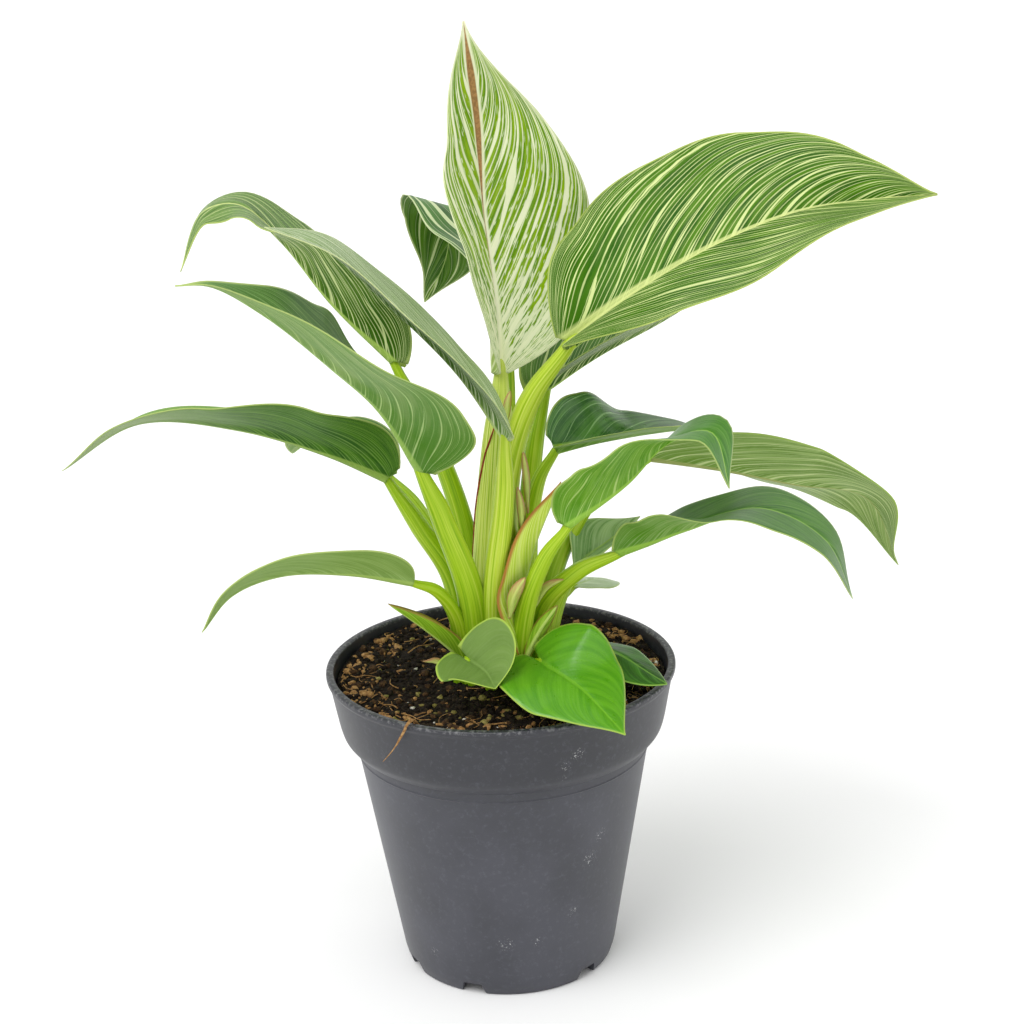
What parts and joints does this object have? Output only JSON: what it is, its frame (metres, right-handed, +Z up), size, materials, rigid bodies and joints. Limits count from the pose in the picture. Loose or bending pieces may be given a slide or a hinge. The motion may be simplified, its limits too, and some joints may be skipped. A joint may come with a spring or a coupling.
{
  "type": "potted philodendron birkin",
  "caption": "Variegated philodendron birkin with pinstriped arching leaves on clasping stalks, growing in soil in a tapered plastic nursery pot with a stepped collar.",
  "frame": {"origin": "on the pot's axis, at the level its foot ring stands on", "axes": "+Z up along the pot's axis, -Y the front of the plant, +X to the right of the front"},
  "size_m": [0.2952, 0.1626, 0.3252],
  "materials": {
    "pot": "satin",
    "soil": "rough",
    "stem": "satin",
    "stalk": "satin",
    "scale_leaf": "satin",
    "cream_blade": "satin",
    "striped_blade": "satin",
    "pale_blade": "satin",
    "green_blade": "satin",
    "young_blade": "satin"
  },
  "bodies": {
    "root": {"pot": "pot", "soil": "soil", "stem": "stem", "leaf_01_blade": "cream_blade", "leaf_01_stalk": "stalk", "leaf_02_blade": "striped_blade", "leaf_02_stalk": "stalk", "leaf_03_blade": "striped_blade", "leaf_03_stalk": "stalk", "leaf_04_blade": "striped_blade", "leaf_04_stalk": "stalk", "leaf_05_blade": "striped_blade", "leaf_05_stalk": "stalk", "leaf_06_blade": "pale_blade", "leaf_06_stalk": "stalk", "leaf_07_blade": "green_blade", "leaf_07_stalk": "stalk", "leaf_08_blade": "green_blade", "leaf_08_stalk": "stalk", "leaf_09_blade": "green_blade", "leaf_09_stalk": "stalk", "leaf_10_blade": "green_blade", "leaf_10_stalk": "stalk", "leaf_11_blade": "green_blade", "leaf_11_stalk": "stalk", "leaf_12_blade": "pale_blade", "leaf_12_stalk": "stalk", "leaf_13_blade": "striped_blade", "leaf_13_stalk": "stalk", "leaf_14_blade": "green_blade", "leaf_14_stalk": "stalk", "leaf_15_blade": "green_blade", "leaf_15_stalk": "stalk", "leaf_16_blade": "pale_blade", "leaf_16_stalk": "stalk", "juvenile_leaf_1_blade": "young_blade", "juvenile_leaf_1_stalk": "stalk", "juvenile_leaf_2_blade": "young_blade", "juvenile_leaf_2_stalk": "stalk", "juvenile_leaf_3_blade": "young_blade", "juvenile_leaf_3_stalk": "stalk", "scale_leaf_front": "scale_leaf", "open_sheath_left": "stalk"}
  },
  "joints": []
}
